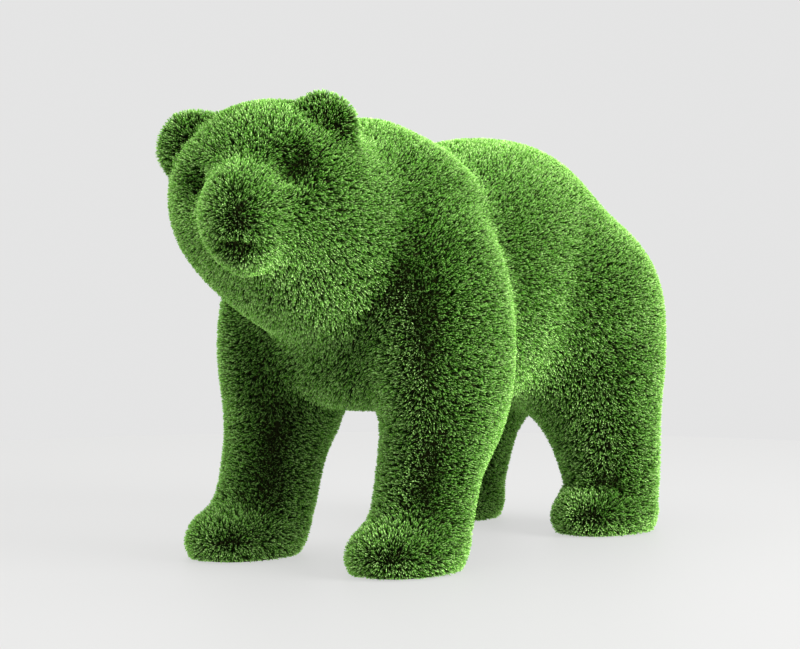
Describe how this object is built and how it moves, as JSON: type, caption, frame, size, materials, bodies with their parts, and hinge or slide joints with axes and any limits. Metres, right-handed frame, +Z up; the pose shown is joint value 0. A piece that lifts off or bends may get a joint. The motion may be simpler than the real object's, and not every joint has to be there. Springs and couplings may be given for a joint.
{
  "type": "topiary bear",
  "caption": "Topiary bear standing on all its legs with its head turned aside, a free-standing garden figure covered all over in artificial grass.",
  "frame": {"origin": "on the ground under the soles, below the middle of the figure's box", "axes": "+Z up, nose towards -Y, the bear's own left side towards +X"},
  "size_m": [0.8026, 1.8664, 1.1988],
  "materials": {
    "turf": "dense cut pile of matt green grass blades over a dark brown thatch"
  },
  "bodies": {
    "root": {"bear": "turf"}
  },
  "joints": []
}
